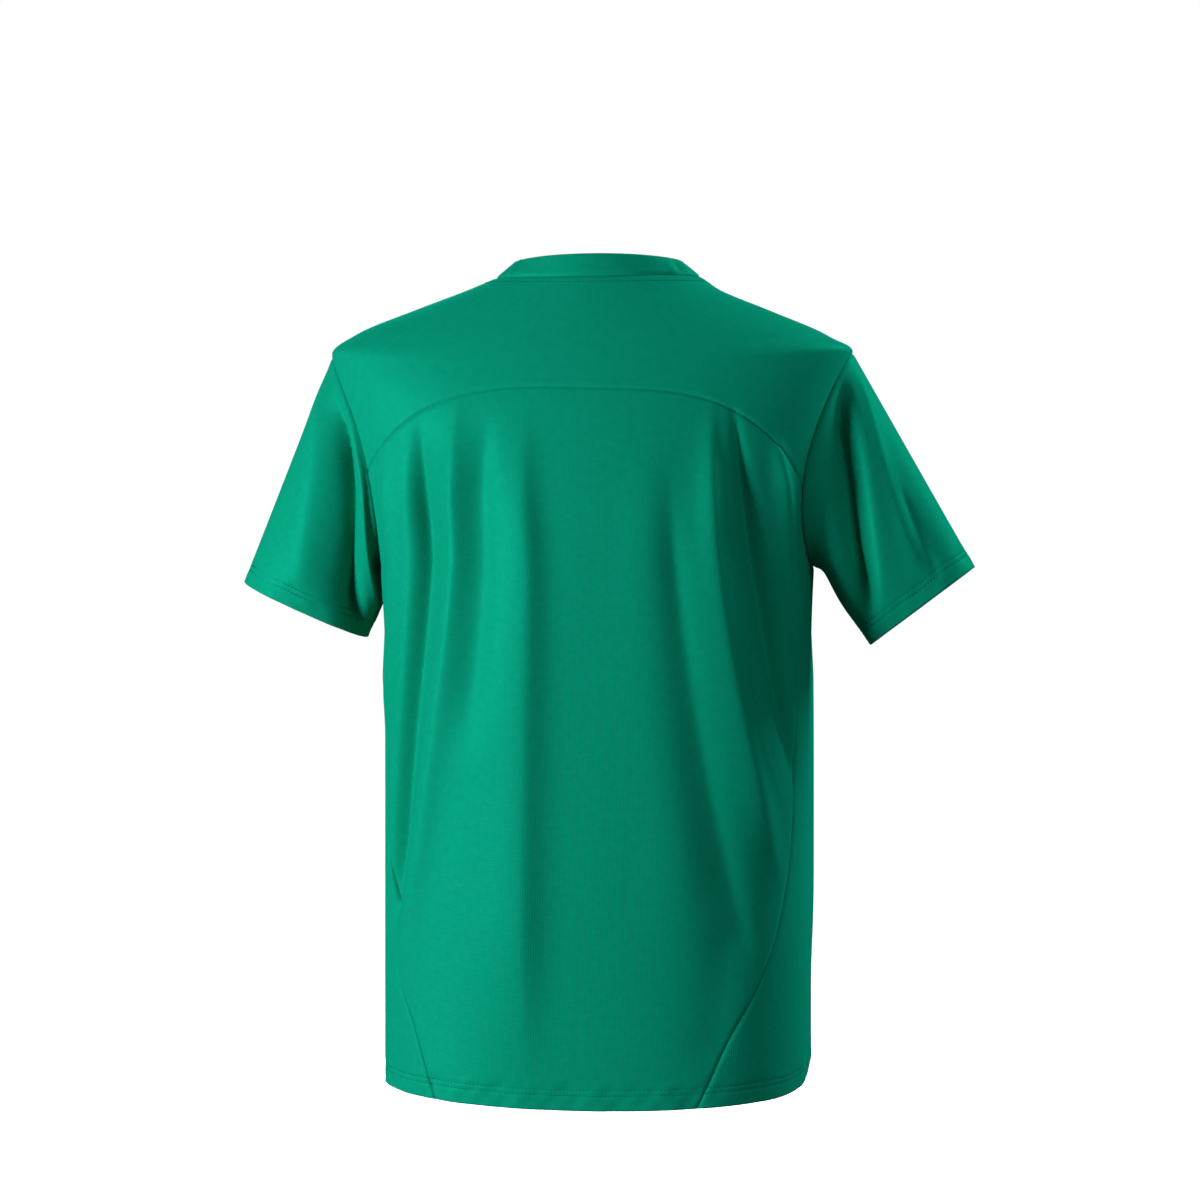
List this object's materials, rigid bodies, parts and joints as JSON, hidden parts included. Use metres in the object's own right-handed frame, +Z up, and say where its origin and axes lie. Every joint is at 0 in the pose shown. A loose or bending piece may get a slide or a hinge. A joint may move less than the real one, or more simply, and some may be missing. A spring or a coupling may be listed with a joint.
{
  "type": "football jersey",
  "caption": "Worn short-sleeved football jersey with a round standing collar, an arched back yoke, curved side panels and turned-up hems.",
  "frame": {"origin": "middle of the neck at the height of the shoulders, where the wearer's neck and shoulders hold the jersey up", "axes": "+Z up, the front faces -Y and the back +Y, the wearer's left is +X"},
  "size_m": [0.6469, 0.2734, 0.7251],
  "materials": {
    "jersey_cloth": "satin polyester knit with a fine rib",
    "yoke_cloth": "smooth satin polyester knit",
    "band_cloth": "doubled satin polyester knit"
  },
  "bodies": {
    "root": {"front_panel": "jersey_cloth", "back_panel": "jersey_cloth", "back_yoke": "yoke_cloth", "side_panel_left": "jersey_cloth", "side_panel_right": "jersey_cloth", "sleeve_left": "jersey_cloth", "sleeve_right": "jersey_cloth", "collar_band": "band_cloth"}
  },
  "joints": []
}
